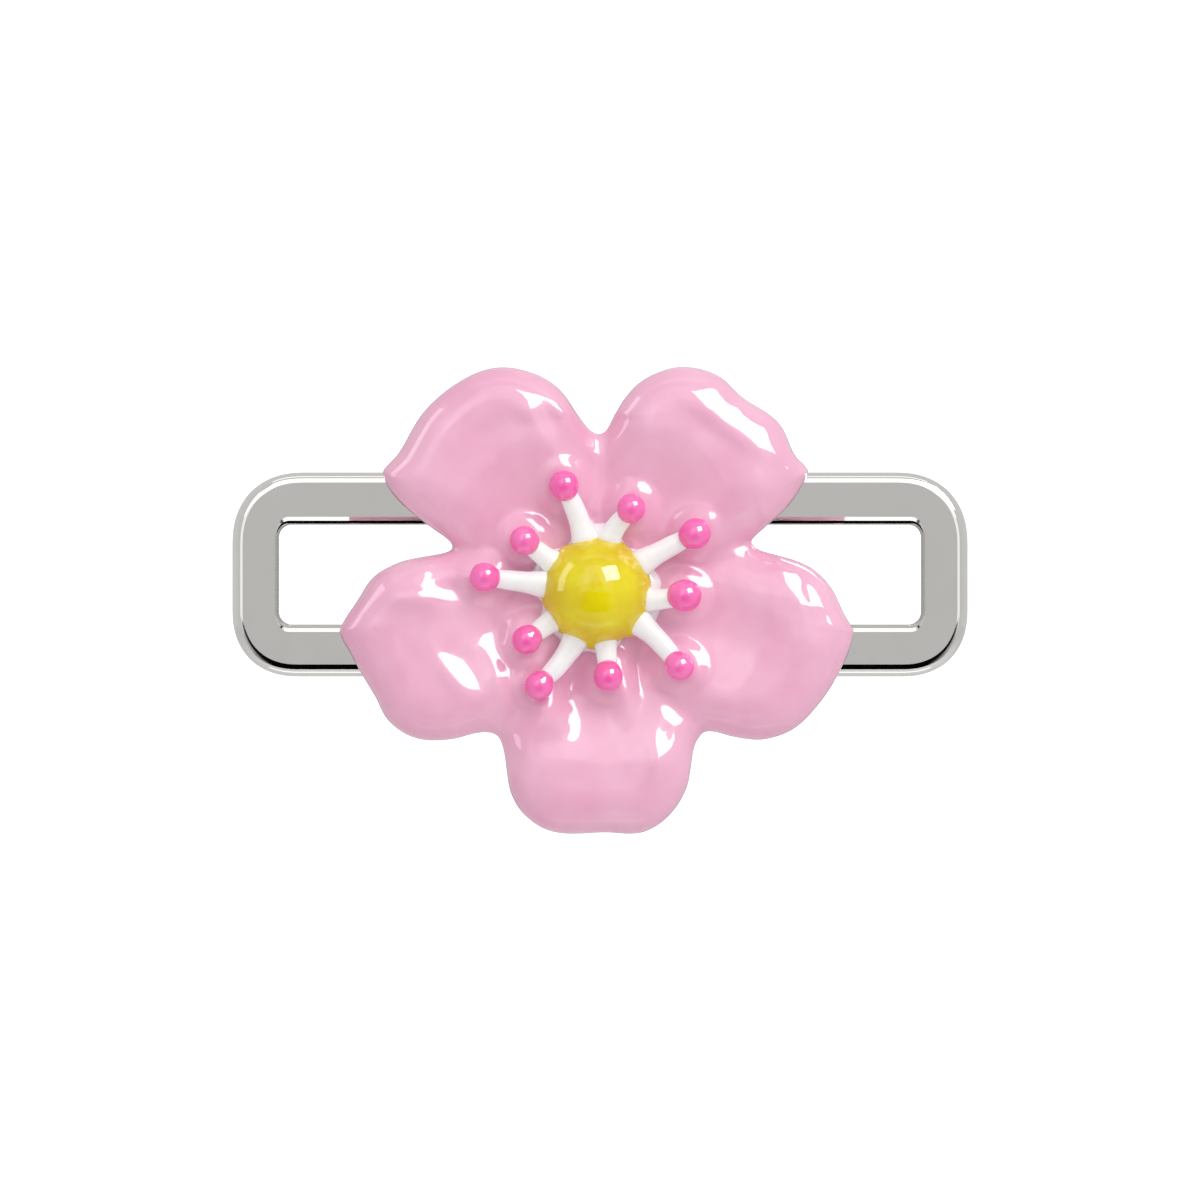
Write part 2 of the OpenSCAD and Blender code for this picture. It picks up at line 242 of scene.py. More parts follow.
def metalFinish(name, light, deep, roughLow, roughHigh, grain=(900, 900, 900), grainDepth=0.000002):
    bench = Bench(name)
    cloudy = bench.ranged(bench.noise(190, 3), 0.3, 0.7, 0, 1)
    bench.link(bench.mixed(cloudy, light, deep), bench.shader.inputs["Base Color"])
    grained = bench.noise(1.0, 4, 0.6, bench.stretched(grain))
    bench.link(bench.ranged(grained, 0.3, 0.7, roughLow, roughHigh), bench.shader.inputs["Roughness"])
    bench.shader.inputs["Metallic"].default_value = 1.0
    bench.raised(grained, 0.2, grainDepth)
    return bench.material


petalPink = enamelFinish("petalPink", tone(246, 188, 213), tone(240, 174, 203))
antherPink = enamelFinish("antherPink", tone(255, 118, 192), tone(254, 94, 178), 700, 0.015, 0.03, 1.8)
filamentWhite = enamelFinish("filamentWhite", tone(254, 253, 254), tone(247, 247, 248), 600)
centreYellow = enamelFinish("centreYellow", tone(238, 222, 20), tone(226, 200, 8), 420)
frameMetal = metalFinish("frameMetal", tone(231, 229, 226), tone(227, 225, 222), 0.045, 0.075)
baseMetal = metalFinish("baseMetal", tone(197, 196, 194), tone(184, 183, 182), 0.22, 0.34,
                        (1400, 1400, 1400), 0.000006)
pinMetal = metalFinish("pinMetal", tone(234, 232, 229), tone(222, 221, 219), 0.12, 0.2,
                       (300, 300, 5200), 0.000005)
catchMetal = metalFinish("catchMetal", tone(222, 221, 220), tone(212, 211, 210), 0.1, 0.17,
                         (2600, 500, 500), 0.000003)
steelWire = metalFinish("steelWire", tone(208, 211, 216), tone(194, 197, 203), 0.1, 0.18,
                        (260, 4200, 4200), 0.000003)
print("finishes mixed")


# slide frame: one closed ring with its own edge section

slideFrame = {
    "halfLong": (frameHigh.x - frameLow.x) / 2 / mm,
    "halfTall": (frameHigh.z - frameLow.z) / 2 / mm,
    "middle": (frameLow.z + frameHigh.z) / 2,
    "deep": (frameHigh.y - frameLow.y) / mm,
    "topCorner": 3.9,
    "lowCorner": 3.6,
    "squareness": 2.26,           # 2 would make the corners plain arcs
    "slotHalfLong": 17.57,
    "slotHalfTall": 2.73,
    "slotCorner": 0.7,
    "flatFrom": 1.1,              # no edge work further in than this
    "frontRound": 0.65,
    "backRound": 0.3,
    "slotBackRound": 0.2,
    "roundSteps": 9,
    "slotStep": (0.2, 0.17),      # width and depth of the steep edge beside the face
    "slotRim": (0.19, 0.018),     # the gentler edge inside it
    "endShare": 0.16,             # how much of that edge is left at the two ends
    "cornerSteps": 22,
    "sideSteps": 12,
}


def roundedOutline(halfLong, halfTall, topCorner, lowCorner, squareness=2.0):
    cornerSteps, sideSteps = slideFrame["cornerSteps"], slideFrame["sideSteps"]
    points = []
    for centreX, centreZ, start in ((1, 1, 0), (-1, 1, 90), (-1, -1, 180), (1, -1, 270)):
        corner = topCorner if centreZ > 0 else lowCorner
        for k in range(cornerSteps + 1):
            angle = math.radians(start + 90 * k / cornerSteps)
            awayX = corner * abs(math.cos(angle)) ** (2 / squareness)
            awayZ = corner * abs(math.sin(angle)) ** (2 / squareness)
            points.append((centreX * (halfLong - corner + awayX), centreZ * (halfTall - corner + awayZ)))
        x, z = points[-1]
        if start in (0, 180):       # along the top or the bottom to where the next corner starts
            nextX, nextZ = -x, z
        else:
            nextX, nextZ = x, -(halfTall - lowCorner) if z > 0 else halfTall - topCorner
        for k in range(1, sideSteps):
            points.append((x + (nextX - x) * k / sideSteps, z + (nextZ - z) * k / sideSteps))
    return np.array(points)


def edgeSection(d):
    # the bar's section once round: which outline, how far in from it, depth behind the face
    steps, front, back, deep = d["roundSteps"], d["frontRound"], d["backRound"], d["deep"]
    section = [("outer", d["flatFrom"], 0), ("outer", front + 0.02, 0)]
    for k in range(steps + 1):
        angle = math.pi / 2 * k / steps
        section.append(("outer", front * (1 - math.sin(angle)), front * (1 - math.cos(angle))))
    for k in range(steps // 2 + 1):
        angle = math.pi / 2 * k / (steps // 2)
        section.append(("outer", back * (1 - math.cos(angle)), deep - back * (1 - math.sin(angle))))
    section.append(("outer", d["flatFrom"], deep))
    slotBack = d["slotBackRound"]
    section += [("slot", slotBack + 0.04, deep), ("slot", slotBack + 0.02, deep)]
    for angle in (0.4, 0.8, 1.2, math.pi / 2):
        section.append(("slot", slotBack * (1 - math.sin(angle)), deep - slotBack * (1 - math.cos(angle))))
    stepWide, stepDeep = d["slotStep"]
    rimWide, rimDeep = d["slotRim"]
    lipDeep = stepDeep + rimDeep
    section += [("slot", 0, lipDeep + 0.1), ("slot", 0.02, lipDeep + 0.03), ("slot", 0.05, lipDeep)]
    allWide = rimWide + stepWide
    section += [("slot", rimWide, stepDeep), ("slot", allWide, 0), ("slot", allWide + 0.05, 0)]
    return section


def makeSlideFrame(d):
    section = edgeSection(d)
    stepDeep = d["slotStep"][1]
    long, tall, corner = d["slotHalfLong"], d["slotHalfTall"], d["slotCorner"]
    slotLine = roundedOutline(long, tall, corner, corner)
    away = roundedOutline(long + 1, tall + 1, corner + 1, corner + 1) - slotLine
    endsNarrower = d["endShare"] + (1 - d["endShare"]) * np.abs(away[:, 1:]) ** 3
    around, minor = len(slotLine), len(section)
    startFresh()
    bpy.ops.mesh.primitive_torus_add(major_segments=around, minor_segments=minor, major_radius=0.01,
                                     minor_radius=0.002)
    ring = named("slideFrame")
    places = np.empty((around, minor, 3))
    for j, (which, inset, depth) in enumerate(section):
        if which == "outer":
            line = roundedOutline(d["halfLong"] - inset, d["halfTall"] - inset, d["topCorner"] - inset,
                                  d["lowCorner"] - inset, d["squareness"])
        else:
            share = endsNarrower if depth < d["deep"] / 2 else 1
            line = slotLine + away * inset * share
            if stepDeep < depth < d["deep"] / 2:        # the rim lies flatter where it is narrow
                depth = stepDeep + (depth - stepDeep) * np.ravel(share)
        places[:, j, 0] = line[:, 0] * mm
        places[:, j, 1] = frontY + depth * mm
        places[:, j, 2] = d["middle"] + line[:, 1] * mm
    moveCorners(ring, places)
    outwards(ring)
    smooth(ring, 27)
    return ring


dress(makeSlideFrame(slideFrame), frameMetal, "frame_metal", "brooch", "slide_frame")
print("slide frame made")


# pink enamel coat of the flower

petalCoat = {
    "around": 540,
    "frontRings": 104,
    "edgeHeight": 1.4,
    "crest": 3.6,
    "seat": 2.2,
    "seatReach": 4.9,
    "crestReach": 9.6,
    "dish": 0.34,
    "petals": (54, 126.5, 198, 269, 341.7),
    "shrink": 0.986,
    "lip": 2.6,
    "widerLips": ((56, 0.6, 18), (355, 0.7, 14)),     # direction, how much wider, spread in degrees
    "lipSquareness": 2.1,
    "nubs": ((150.4, 0.2), (30.8, 0.2), (187.8, 0.16), (352, 0.14)),
    "nubWidth": 1.5,
    "creases": ((163, 8.5, 0.65), (90, 8.85, 0.95), (18, 8.8, 0.65), (233, 9.6, 0.6), (305.5, 9.5, 0.6)),
    "creaseWidth": 0.72,
    "moundHeight": 0.5,
    "moundWidth": 1.1,
    "discHeight": 0.3,
    "discReach": 1.42,
    "waves": 0.05,
}
# brush ripples in the wet enamel: x, z, long, across, lie in degrees, slope
ripples = (
    (-8.9, 0.1, 1.4, 0.45, 3, 0.5),
    (-7.7, -3.9, 0.95, 0.5, 130, 0.46),
    (-5.6, -3.1, 1.3, 0.45, 100, 0.52),
    (-2.1, -5.5, 1.2, 0.5, 55, 0.72),
    (-2.5, -7.4, 0.7, 0.5, 55, -0.35),
    (6.6, 8.7, 2.2, 0.5, 144, -0.33),
    (7.75, 10.45, 2.0, 0.35, 144, 0.28),
    (9.7, 6.9, 0.8, 0.6, 125, -0.4),
    (-4.1, 9.5, 0.5, 0.5, 120, -0.3),
    (-0.5, 3.9, 0.25, 0.2, 60, 0.5),
    (1.9, 2.8, 0.2, 0.2, 0, 0.5),
    (11.0, -0.1, 0.6, 0.4, 100, 0.4),
    (12.2, 1.0, 0.5, 0.5, 100, -0.35),
    (1.7, -4.7, 1.0, 0.4, 78, 0.8),
    (3.9, -6.5, 0.45, 0.36, 150, 0.34),
    (3.3, -8.3, 0.85, 0.36, 80, 0.36),
    (-0.3, 7.9, 0.4, 0.3, 90, 0.35),
    (7.5, 2.5, 0.4, 0.3, 20, 0.3),
    (-1.9, 9.2, 1.3, 0.7, 122, -0.34),
    (9.2, 1.7, 0.9, 0.6, 160, -0.3),
    (12.3, -1.3, 0.9, 0.6, 130, -0.3),
    (-2.35, 9.8, 0.7, 0.55, 120, -0.5),
)
lightAzimuth = 50     # where the window light comes from, seen from the front


edgeSpots = 144       # the CAD enamel has this many directions round its edge
edgeStep = 360 / edgeSpots


def coatEdge():
    # the widest line of the CAD enamel, read back from its mesh
    places = corners(frame["nodes"]["petal_enamel"])
    height = (frontY - places[:, 1]) / mm
    widest = places[np.abs(height - petalCoat["edgeHeight"]) < 0.03]
    x, z = widest[:, 0] / mm, (widest[:, 2] - flowerZ) / mm
    direction = np.degrees(np.arctan2(z, x)) % 360
    spots = np.rint(direction / edgeStep).astype(int) % edgeSpots
    reach = np.zeros(edgeSpots)
    reach[spots] = np.hypot(x, z) * petalCoat["shrink"]
    return reach


edgeReach = coatEdge()
print("coat edge read")


def reachAt(direction):
    steps = (direction % 360) / edgeStep
    i = np.floor(steps).astype(int)
    t = steps - i
    a, b, c, d = (edgeReach[(i + k) % edgeSpots] for k in (-1, 0, 1, 2))
    reach = 0.5 * (2 * b + (c - a) * t + (2 * a - 5 * b + 4 * c - d) * t ** 2 + (3 * b - a - 3 * c + d) * t ** 3)
    for middle, size in petalCoat["nubs"]:
        reach = reach + size * np.exp(-np.abs(turnFrom(direction, middle)) / petalCoat["nubWidth"])
    return reach


def edgeDistance(x, z):
    fine = np.arange(0, 360, 0.25)
    edgeX = reachAt(fine) * np.cos(np.radians(fine))
    edgeZ = reachAt(fine) * np.sin(np.radians(fine))
    distance = np.empty(len(x))
    for start in range(0, len(x), 4000):
        px, pz = x[start:start + 4000, None], z[start:start + 4000, None]
        nearest = np.argmin((px - edgeX) ** 2 + (pz - edgeZ) ** 2, axis=1)
        best = None
        for side in (-1, 0):
            first, second = (nearest + side) % len(fine), (nearest + side + 1) % len(fine)
            ax, az = edgeX[first], edgeZ[first]
            bx, bz = edgeX[second] - ax, edgeZ[second] - az
            t = np.clip(((px[:, 0] - ax) * bx + (pz[:, 0] - az) * bz) / (bx ** 2 + bz ** 2), 0, 1)
            gap = np.hypot(px[:, 0] - ax - t * bx, pz[:, 0] - az - t * bz)
            best = gap if best is None else np.minimum(best, gap)
        distance[start:start + 4000] = best
    return distance


antherSpots = []
for number in range(1, 11):
    low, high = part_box("anther_%02d" % number)
    middle = (low + high) / 2
    antherSpots.append((middle.x / mm, (middle.z - flowerZ) / mm, (frontY - middle.y) / mm))


def evenedOut(values, direction, rows, passes=26):
    # soften a value round each ring, so the petal tips leave no ridge line
    around = petalCoat["around"]
    column = np.rint(direction / 360 * around).astype(int) % around
    table = np.zeros((rows.max() + 1, around))
    table[rows, column] = values
    ring = rows > 0
    for _ in range(passes):
        table = (np.roll(table, 1, axis=1) + 2 * table + np.roll(table, -1, axis=1)) / 4
    out = values.copy()
    out[ring] = table[rows[ring], column[ring]]
    return out


def coatHeight(x, z, distance):
    d = petalCoat
    reach = np.hypot(x, z)
    direction = np.degrees(np.arctan2(z, x)) % 360
    rise = softStep((reach - d["seatReach"]) / (d["crestReach"] - d["seatReach"]))
    top = d["seat"] + (d["crest"] - d["seat"]) * rise
    for petal in d["petals"]:
        angle = np.radians(turnFrom(direction, petal))
        top = top - d["dish"] * bump(reach * np.cos(angle) - 9.0, 2.0) * bump(reach * np.sin(angle), 2.2)
    for notchAt, notchReach, depth in d["creases"]:
        angle = np.radians(turnFrom(direction, notchAt))
        along, across = reach * np.cos(angle), reach * np.sin(angle)
        fade = softStep((along - 3.6) / (notchReach - 3.6)) * softStep((notchReach + 0.5 - along) / 0.5 + 1)
        top = top - depth * fade * bump(across, d["creaseWidth"] * (0.75 + 0.5 * fade))
    for cx, cz, _ in antherSpots:
        gap = np.hypot(x - cx, z - cz)
        top = top + d["moundHeight"] * bump(gap, d["moundWidth"])
        top = top + d["discHeight"] * np.exp(-(gap / d["discReach"]) ** 7)
    wave = np.sin(x * 0.9 + 0.6) * np.cos(z * 1.1 - 0.4) + 0.7 * np.sin(x * 0.45 - z * 0.7 + 1.9)
    top = top + d["waves"] * wave
    lightX, lightZ = math.cos(math.radians(lightAzimuth)), math.sin(math.radians(lightAzimuth))
    for cx, cz, long, across, lie, slope in ripples:
        u = (x - cx) * math.cos(math.radians(lie)) + (z - cz) * math.sin(math.radians(lie))
        v = -(x - cx) * math.sin(math.radians(lie)) + (z - cz) * math.cos(math.radians(lie))
        towards = (x - cx) * lightX + (z - cz) * lightZ
        top = top - slope * towards * bump(u, long) * bump(v, across)
    wide = d["lip"]
    for middle, extra, across in d["widerLips"]:
        wide = wide + extra * bump(turnFrom(direction, middle), across)
    t = np.clip(distance / wide, 0, 1)
    lip = (1 - (1 - t) ** d["lipSquareness"]) ** 0.5
    return d["edgeHeight"] + (top - d["edgeHeight"]) * lip


def makePetalCoat(d):
    under = [(0.4 * (1 - math.cos(a)), 1.4 - 1.1 * math.sin(a)) for a in np.radians(np.arange(11.25, 91, 11.25))]
    under += [(0.5, 0.3), (0.66, 0.3), (0.68, 0.32), (0.68, 0.7), (0.68, 0.99), (0.7, 1.0)]
    rings = d["frontRings"] + len(under) + 4
    coat, direction, rows = frontBall("petalCoat", d["around"], rings)
    edge = reachAt(direction)
    front = rows <= d["frontRings"]
    share = np.sin(math.pi / 2 * np.clip(rows / d["frontRings"], 0, 1))
    reach = edge * share
    height = np.zeros(len(rows))
    turn = np.radians(direction)
    x, z = reach * np.cos(turn), reach * np.sin(turn)
    distance = edgeDistance(x[front], z[front])
    distance[rows[front] == d["frontRings"]] = 0
    distance = evenedOut(distance, direction[front], rows[front])
    height[front] = coatHeight(x[front], z[front], distance)
    for k, (inset, h) in enumerate(under):
        here = rows == d["frontRings"] + 1 + k
        reach[here], height[here] = edge[here] - inset, h
    for k in range(4):              # the flat inside of the shell, closed at its middle
        here = rows == d["frontRings"] + len(under) + 1 + k
        reach[here], height[here] = (edge[here] - 0.7) * (0.75, 0.5, 0.25, 0)[k], 1.0
    moveCorners(coat, rowPlace(reach * np.cos(turn), reach * np.sin(turn), height))
    outwards(coat)
    smooth(coat, 60)
    return coat


dress(makePetalCoat(petalCoat), petalPink, "petal_enamel", "brooch", "petal_enamel")
print("petal coat poured")


# stamens: white strands, pink drops, white pool and yellow centre

stamens = {
    "rootWidth": 0.84,
    "waistWidth": 0.56,
    "tipWidth": 0.5,
    "flatness": 0.8,
    "rootReach": 2.2,
    "rootHeight": 2.95,
    "elbowHeight": 3.1,
    "tipInset": 0.25,             # how far short of the drop's middle a strand ends
    "tipSink": 0.2,
    "antherRadius": 0.76,
    "antherSizes": {3: 1.09, 4: 1.17},
    "otherAnthers": 1.03,
}


def strand(name, path, radii, flat, around=28, rings=40, cap=0.14, stride=0.05):
    # a closed strand along a path of points in flower millimetres (x, z, h)
    startFresh()
    bpy.ops.mesh.primitive_uv_sphere_add(segments=around, ring_count=rings, radius=mm)
    piece = named(name)
    places = corners(piece)
    v = np.arccos(np.clip(places[:, 2] / mm, -1, 1)) / math.pi
    turn = np.arctan2(places[:, 1], places[:, 0])
    path = np.array(path)
    lengths = np.concatenate([[0], np.cumsum(np.linalg.norm(np.diff(path, axis=0), axis=1))])
    whole = lengths[-1]
    startCap, endCap = radii[0], radii[-1]
    first, last = v < cap, v > 1 - cap
    along = startCap + (whole - startCap - endCap) * (v - cap) / (1 - 2 * cap)
    fullness = np.ones(len(v))
    along[first] = startCap * (1 - np.cos(math.pi / 2 * v[first] / cap))
    fullness[first] = np.sin(math.pi / 2 * v[first] / cap)
    along[last] = whole - endCap * (1 - np.cos(math.pi / 2 * (1 - v[last]) / cap))
    fullness[last] = np.sin(math.pi / 2 * (1 - v[last]) / cap)
    radius = np.interp(along / whole, np.linspace(0, 1, len(radii)), radii) * fullness

    def pathAt(length):
        return np.stack([np.interp(np.clip(length, 0, whole), lengths, path[:, k]) for k in range(3)], axis=-1)

    middle, ahead, behind = pathAt(along), pathAt(along + stride), pathAt(along - stride)
    tangent = (ahead - behind) / np.linalg.norm(ahead - behind, axis=1)[:, None]
    side = np.cross(tangent, [0, 0, 1.0])
    side /= np.linalg.norm(side, axis=1)[:, None]
    up = np.cross(side, tangent)
    spots = middle + side * (radius * np.cos(turn))[:, None] + up * (radius * flat * np.sin(turn))[:, None]
    moveCorners(piece, rowPlace(spots[:, 0], spots[:, 1], spots[:, 2]))
    outwards(piece)
    smooth(piece)
    return piece


def bentPath(start, elbow, end, count=24):
    t = np.linspace(0, 1, count)[:, None]
    return (1 - t) ** 2 * np.array(start) + 2 * t * (1 - t) * np.array(elbow) + t ** 2 * np.array(end)


rootDirections = []
for number in range(1, 11):
    places = corners(frame["nodes"]["filament_%02d" % number])
    x, z = places[:, 0] / mm - domeX, (places[:, 2] - flowerZ) / mm - domeZ
    reach = np.hypot(x, z)
    inner = reach < reach.min() + 0.7
    rootDirections.append(math.degrees(math.atan2(z[inner].mean(), x[inner].mean())))


def fromDome(reach, direction, height):
    return (domeX + reach * math.cos(direction), domeZ + reach * math.sin(direction), height)


def makeFilament(d, number):
    ax, az, ah = antherSpots[number - 1]
    root = math.radians(rootDirections[number - 1])
    tipDirection = math.atan2(az - domeZ, ax - domeX)
    tipReach = math.hypot(az - domeZ, ax - domeX)
    start = fromDome(d["rootReach"], root, d["rootHeight"])
    elbow = fromDome((d["rootReach"] + tipReach) / 2, root, d["elbowHeight"])
    end = fromDome(tipReach - d["tipInset"], tipDirection, ah - d["tipSink"])
    radii = [d["rootWidth"] * k for k in (1, 0.96, 0.8)]
    radii += [d["waistWidth"] * k for k in (1.05, 1, 0.97)] + [d["tipWidth"] * k for k in (1, 0.9)]
    return strand("filament%02d" % number, bentPath(start, elbow, end), radii, d["flatness"])


for number in range(1, 11):
    dress(makeFilament(stamens, number), filamentWhite, "white_enamel", "brooch", "filament_%02d" % number)
print("filaments drawn")


def makeAnther():
    # one drop, round, a little fuller on the side of its strand (towards +X)
    ball, direction, rows = frontBall("antherDrop", 40, 28)
    places = corners(ball) / ballRadius
    fuller = 0.1 * softStep((places[:, 0] - 0.55) / 0.45)
    uneven = 0.018 * np.sin(3.1 * places[:, 2] + 1.2) * np.cos(2.3 * places[:, 0])
    swell = (1 + fuller + uneven)[:, None]
    moveCorners(ball, places * swell * stamens["antherRadius"] * mm * np.array([1.0, 0.97, 1.0]))
    return ball


antherModel = makeAnther()
for number, (ax, az, ah) in enumerate(antherSpots, 1):
    onlyThis(antherModel)
    bpy.ops.object.duplicate()
    drop = named("anther%02d" % number)
    home = math.atan2(domeZ - az, domeX - ax)
    size = stamens["antherSizes"].get(number, stamens["otherAnthers"]) + 0.02 * math.sin(number * 2.4)
    places = corners(drop) * size
    x = places[:, 0] * math.cos(home) - places[:, 2] * math.sin(home)
    z = places[:, 0] * math.sin(home) + places[:, 2] * math.cos(home)
    moveCorners(drop, np.stack([x + ax * mm, places[:, 1] + frontY - ah * mm, z + flowerZ + az * mm], axis=-1))
    outwards(drop)
    smooth(drop)
    dress(drop, antherPink, "pink_enamel", "brooch", "anther_%02d" % number)
bpy.data.objects.remove(antherModel)
print("anthers dropped")


def aroundDome(reach, direction, height):
    turn = np.radians(direction)
    return rowPlace(domeX + reach * np.cos(turn), domeZ + reach * np.sin(turn), height)


whitePool = {
    "reach": 2.7,
    "webReach": 0.9,
    "webWidth": 11,
    "strayBlob": (9, 0.55, 7),    # direction, how far, half width in degrees
    "low": 2.15,
    "high": 3.2,
    "rings": 40,
}


def makeWhitePool(d):
    pool, direction, rows = frontBall("whitePool", 180, d["rings"])
    reach = np.full(len(direction), d["reach"])
    for root in rootDirections:
        reach = reach + d["webReach"] * bump(turnFrom(direction, root), d["webWidth"])
    blobAt, blobFar, blobWidth = d["strayBlob"]
    reach = reach + blobFar * bump(turnFrom(direction, blobAt), blobWidth)
    angle = math.pi * rows / d["rings"]
    share = np.sin(angle) ** 0.8
    above = d["low"] + (d["high"] - d["low"]) * np.clip(np.cos(angle), 0, 1) ** 0.75
    below = d["low"] + 0.12 * np.cos(angle)
    height = np.where(rows <= d["rings"] // 2, above, below)
    moveCorners(pool, aroundDome(reach * share, direction, height))
    outwards(pool)
    smooth(pool)
    return pool


dress(makeWhitePool(whitePool), filamentWhite, "white_enamel", "brooch", "stamen_hub")

yellowCentre = {
    "rings": 72,
    "reach": 2.86,
    "low": 2.62,
    "top": (frontY - domeLow.y) / mm,
    # runs of the yellow over its edge: direction, how far, half width in degrees
    "drips": ((12, 0.16, 7), (33, 0.3, 5), (62, 0.12, 8), (98, 0.14, 9), (128, 0.1, 7), (158, 0.08, 8),
              (190, 0.1, 9), (222, 0.2, 6), (240, 0.12, 6), (266, 0.32, 7), (292, 0.1, 6), (311, 0.34, 5),
              (335, 0.14, 7)),
}


def makeYellowCentre(d):
    dome, direction, rows = frontBall("yellowCentre", 240, d["rings"])
    angle = math.pi * rows / d["rings"]
    run = np.zeros(len(direction))
    for middle, far, width in d["drips"]:
        run = run + far * bump(turnFrom(direction, middle), width)
    run = run + 0.025 * np.sin(np.radians(direction) * 17 + 0.7)
    skirt = softStep((np.degrees(angle) - 66) / 22)
    reach = d["reach"] + run * skirt
    height = d["low"] + (d["top"] - d["low"]) * np.cos(angle)
    height = np.where(rows > d["rings"] / 2, d["low"] + 0.3 * np.cos(angle), height)
    moveCorners(dome, aroundDome(reach * np.sin(angle), direction, height))
    outwards(dome)
    smooth(dome)
    return dome


dress(makeYellowCentre(yellowCentre), centreYellow, "yellow_enamel", "brooch", "centre_dome")
print("yellow centre set")


# metal of the back: each piece keeps its CAD shape and gets the soft edges of stamped and tumbled parts

edgeTurn = 38          # degrees: sharper edges than this are softened
# name, CAD node, width of the soft edge, finish, slot, body
backPieces = (
    ("bridgePlate", "bridge_plate", 0.12, baseMetal, "base_metal", "brooch"),
    ("flowerBase", "flower_base", 0.1, baseMetal, "base_metal", "brooch"),
    ("pinBar", "pin_bar", 0.07, pinMetal, "pin_metal", "brooch"),
    ("fixingRivets", "fixing_rivets", 0.06, pinMetal, "pin_metal", "brooch"),
    ("hingeRivet", "hinge_rivet", 0.05, catchMetal, "catch_metal", "brooch"),
    ("catchHousing", "catch_housing", 0.06, catchMetal, "catch_metal", "brooch"),
    ("catchRoller", "catch_roller", 0.06, catchMetal, "catch_metal", "roller"),
    ("pinStem", "pin_stem", 0.04, steelWire, "steel_wire", "stem"),
)


def softened(name, node, width):
    startFresh()
    source = frame["nodes"][node]
    piece = bpy.data.objects.new(name, source.data.copy())
    bpy.context.scene.collection.objects.link(piece)
    onlyThis(piece)
    piece.data.name = name
    outwards(piece, 2e-6)
    onlyThis(piece)
    bpy.ops.object.mode_set(mode="EDIT")
    bpy.ops.mesh.select_all(action="SELECT")
    bpy.ops.mesh.dissolve_limited(angle_limit=math.radians(0.4))
    bpy.ops.object.mode_set(mode="OBJECT")
    edges = piece.modifiers.new("softEdges", "BEVEL")
    edges.width = width * mm
    edges.segments = 3
    edges.limit_method = "ANGLE"
    edges.angle_limit = math.radians(edgeTurn)
    edges.use_clamp_overlap = True
    edges.harden_normals = True
    smooth(piece, edgeTurn)
    finishModifiers(piece)
    return piece


for name, node, width, finish, slotName, body in backPieces:
    dress(softened(name, node, width), finish, slotName, body, node)
print("back pieces softened")


# stage, light and camera

stageSet = {
    "floorLevel": -0.4,
    "floorReach": 2.3,
    "distance": 0.217,
    "lens": 120,
    "aimDown": 0.00139,
}


def makeFloor(d):
    startFresh()
    bpy.ops.mesh.primitive_circle_add(vertices=96, radius=d["floorReach"], fill_type="NGON",
                                      location=(0, 0, d["floorLevel"]))
    floor = named("floor")
    bench = Bench("floorPaper")
    mottled = bench.mixed(bench.noise(3, 3), tone(246, 246, 246), tone(242, 242, 242))
    bench.link(mottled, bench.shader.inputs["Base Color"])
    bench.shader.inputs["Roughness"].default_value = 0.9
    floor.data.materials.append(bench.material)


def placeRound(obj, offAxis, azimuth, distance):
    # seen offAxis degrees from straight ahead, towards azimuth, and turned to face the object
    off, around = math.radians(offAxis), math.radians(azimuth)
    place = Vector((math.sin(off) * math.cos(around), -math.cos(off), math.sin(off) * math.sin(around))) * distance
    obj.location = place
    obj.rotation_euler = (-place).to_track_quat("-Z", "Y").to_euler()


def panel(name, offAxis, azimuth, distance, width, height, radiance, diffuse=False, glossy=True):
    # an area light; its brightness is per area
    lamp = bpy.data.lights.new(name, "AREA")
    lamp.shape = "RECTANGLE"
    lamp.size, lamp.size_y = width, height
    lamp.energy = radiance * math.pi * width * height
    obj = bpy.data.objects.new(name, lamp)
    bpy.context.scene.collection.objects.link(obj)
    placeRound(obj, offAxis, azimuth, distance)
    obj.visible_camera = False
    obj.visible_diffuse = diffuse
    obj.visible_glossy = glossy
    return obj


def card(name, offAxis, azimuth, distance, width, height, shade, fadeFrom=0.5):
    # a card that only shows in reflections
    startFresh()
    bpy.ops.mesh.primitive_plane_add(size=1)
    obj = bpy.context.object
    obj.name = name
    obj.scale = (width, height, 1)
    placeRound(obj, offAxis, azimuth, distance)
    cloth = Bench(name + "Cloth")
    woven = cloth.mixed(cloth.noise(40), tone(*[shade] * 3), tone(*[shade - 2] * 3))
    cloth.link(woven, cloth.shader.inputs["Base Color"])
    if fadeFrom < 0.5:              # thins out towards its two ends
        parts = cloth.tree.nodes.new("ShaderNodeSeparateXYZ")
        cloth.link(cloth.coords, parts.inputs[0])
        either = cloth.tree.nodes.new("ShaderNodeMath")
        either.operation = "ABSOLUTE"
        cloth.link(parts.outputs["X"], either.inputs[0])
        cloth.link(cloth.ranged(either.outputs[0], fadeFrom, 0.5, 1, 0), cloth.shader.inputs["Alpha"])
    cloth.shader.inputs["Roughness"].default_value = 1.0
    cloth.shader.inputs["Specular IOR Level"].default_value = 0.0
    obj.data.materials.append(cloth.material)
    obj.visible_camera = False
    obj.visible_diffuse = False
    obj.visible_shadow = False


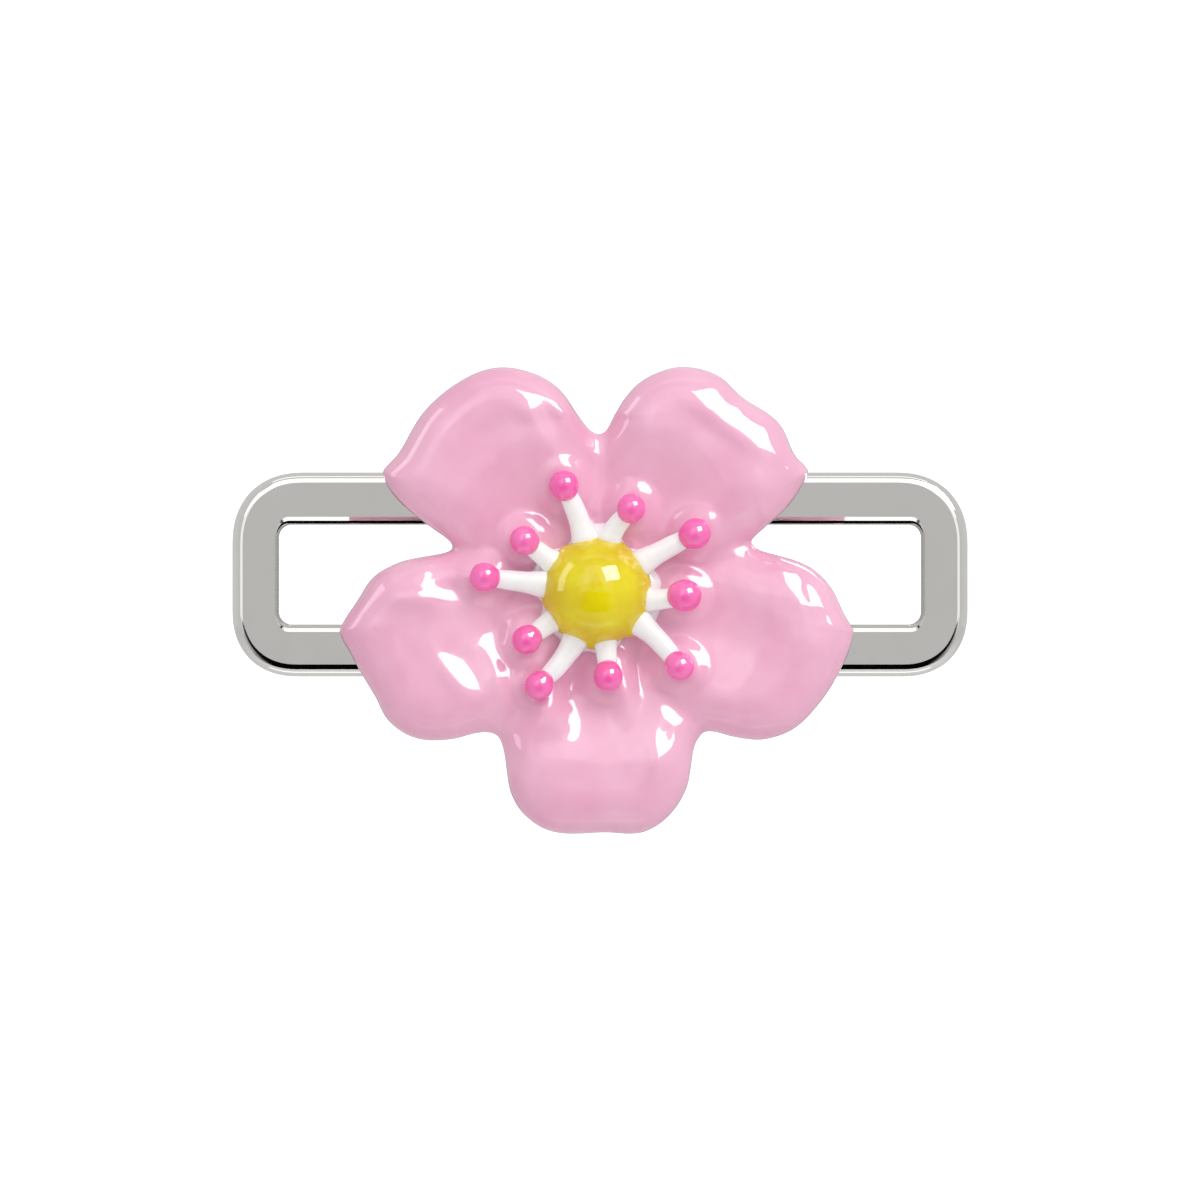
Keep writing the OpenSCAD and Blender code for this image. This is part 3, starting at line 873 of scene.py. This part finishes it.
def makeWorld():
    world = bpy.data.worlds.new("paleStudio")
    bpy.context.scene.world = world
    world.use_nodes = True
    tree = world.node_tree
    coords = tree.nodes.new("ShaderNodeTexCoord")
    parts = tree.nodes.new("ShaderNodeSeparateXYZ")
    ramp = tree.nodes.new("ShaderNodeValToRGB")
    spread = tree.nodes.new("ShaderNodeMapRange")
    spread.inputs["From Min"].default_value = -1
    tree.links.new(coords.outputs["Generated"], parts.inputs["Vector"])
    tree.links.new(parts.outputs["Y"], spread.inputs["Value"])
    tree.links.new(spread.outputs["Result"], ramp.inputs["Fac"])
    # paler behind the object, so its background is white
    stops = ((0.0, 0.3), (0.2, 0.33), (0.5, 0.35), (0.974, 0.35), (0.983, 0.62))
    first, last = ramp.color_ramp.elements
    first.position, first.color = stops[0][0], [stops[0][1]] * 3 + [1]
    last.position, last.color = stops[-1][0], [stops[-1][1]] * 3 + [1]
    for position, value in stops[1:-1]:
        ramp.color_ramp.elements.new(position).color = [value] * 3 + [1]
    background = tree.nodes["Background"]
    tree.links.new(ramp.outputs["Color"], background.inputs["Color"])
    background.inputs["Strength"].default_value = 2.0


makeFloor(stageSet)
makeWorld()
# name, degrees off straight ahead, azimuth, distance, width, height, brightness
panel("windowLight", 52, 50, 0.5, 0.28, 0.27, 13)
domeStrip = panel("domeStrip", 84, 156, 0.5, 0.16, 0.45, 3.0)
panel("topPanel", 38.5, 90, 0.6, 0.55, 0.42, 1.0)
panel("cornerPanel", 36, 136, 0.6, 0.3, 0.26, 0.7)
panel("rightCornerPanel", 36, 44, 0.6, 0.3, 0.26, 0.7)
panel("leftPanel", 27, 180, 0.6, 0.2, 0.5, 0.5)
panel("rightPanel", 27, 0, 0.6, 0.2, 0.5, 0.5)
panel("upperGlint", 80, 90, 0.38, 0.4, 0.07, 0.7)
panel("lowerGlint", 80, 270, 0.37, 0.4, 0.07, 0.7)
panel("softKey", 48, 58, 0.6, 0.5, 0.5, 2.3, diffuse=True, glossy=False)
panel("softFront", 62, 252, 0.6, 0.8, 0.8, 0.55, diffuse=True, glossy=False)
card("lowerFlag", 25.5, 270, 0.5, 0.9, 0.42, 5, 0.2)
card("behindCard", 180, 0, 0.5, 0.5, 0.36, 178)

# the strip for the yellow centre is kept off the polished frame
shinyEnamel = bpy.data.collections.new("shinyEnamel")
for name in ("petalCoat", "yellowCentre", "whitePool"):
    shinyEnamel.objects.link(bpy.data.objects[name])
domeStrip.light_linking.receiver_collection = shinyEnamel

lens = bpy.data.cameras.new("lens")
lens.lens, lens.sensor_width = stageSet["lens"], 36
lens.clip_start, lens.clip_end = 0.005, 50
eye = bpy.data.objects.new("eye", lens)
bpy.context.scene.collection.objects.link(eye)
eye.location = (0, frontY - stageSet["distance"], (frameLow.z + frameHigh.z) / 2 - stageSet["aimDown"])
eye.rotation_euler = (math.pi / 2, 0, 0)
bpy.context.scene.camera = eye
bpy.context.scene.view_settings.view_transform = "Standard"
print("stage lit")
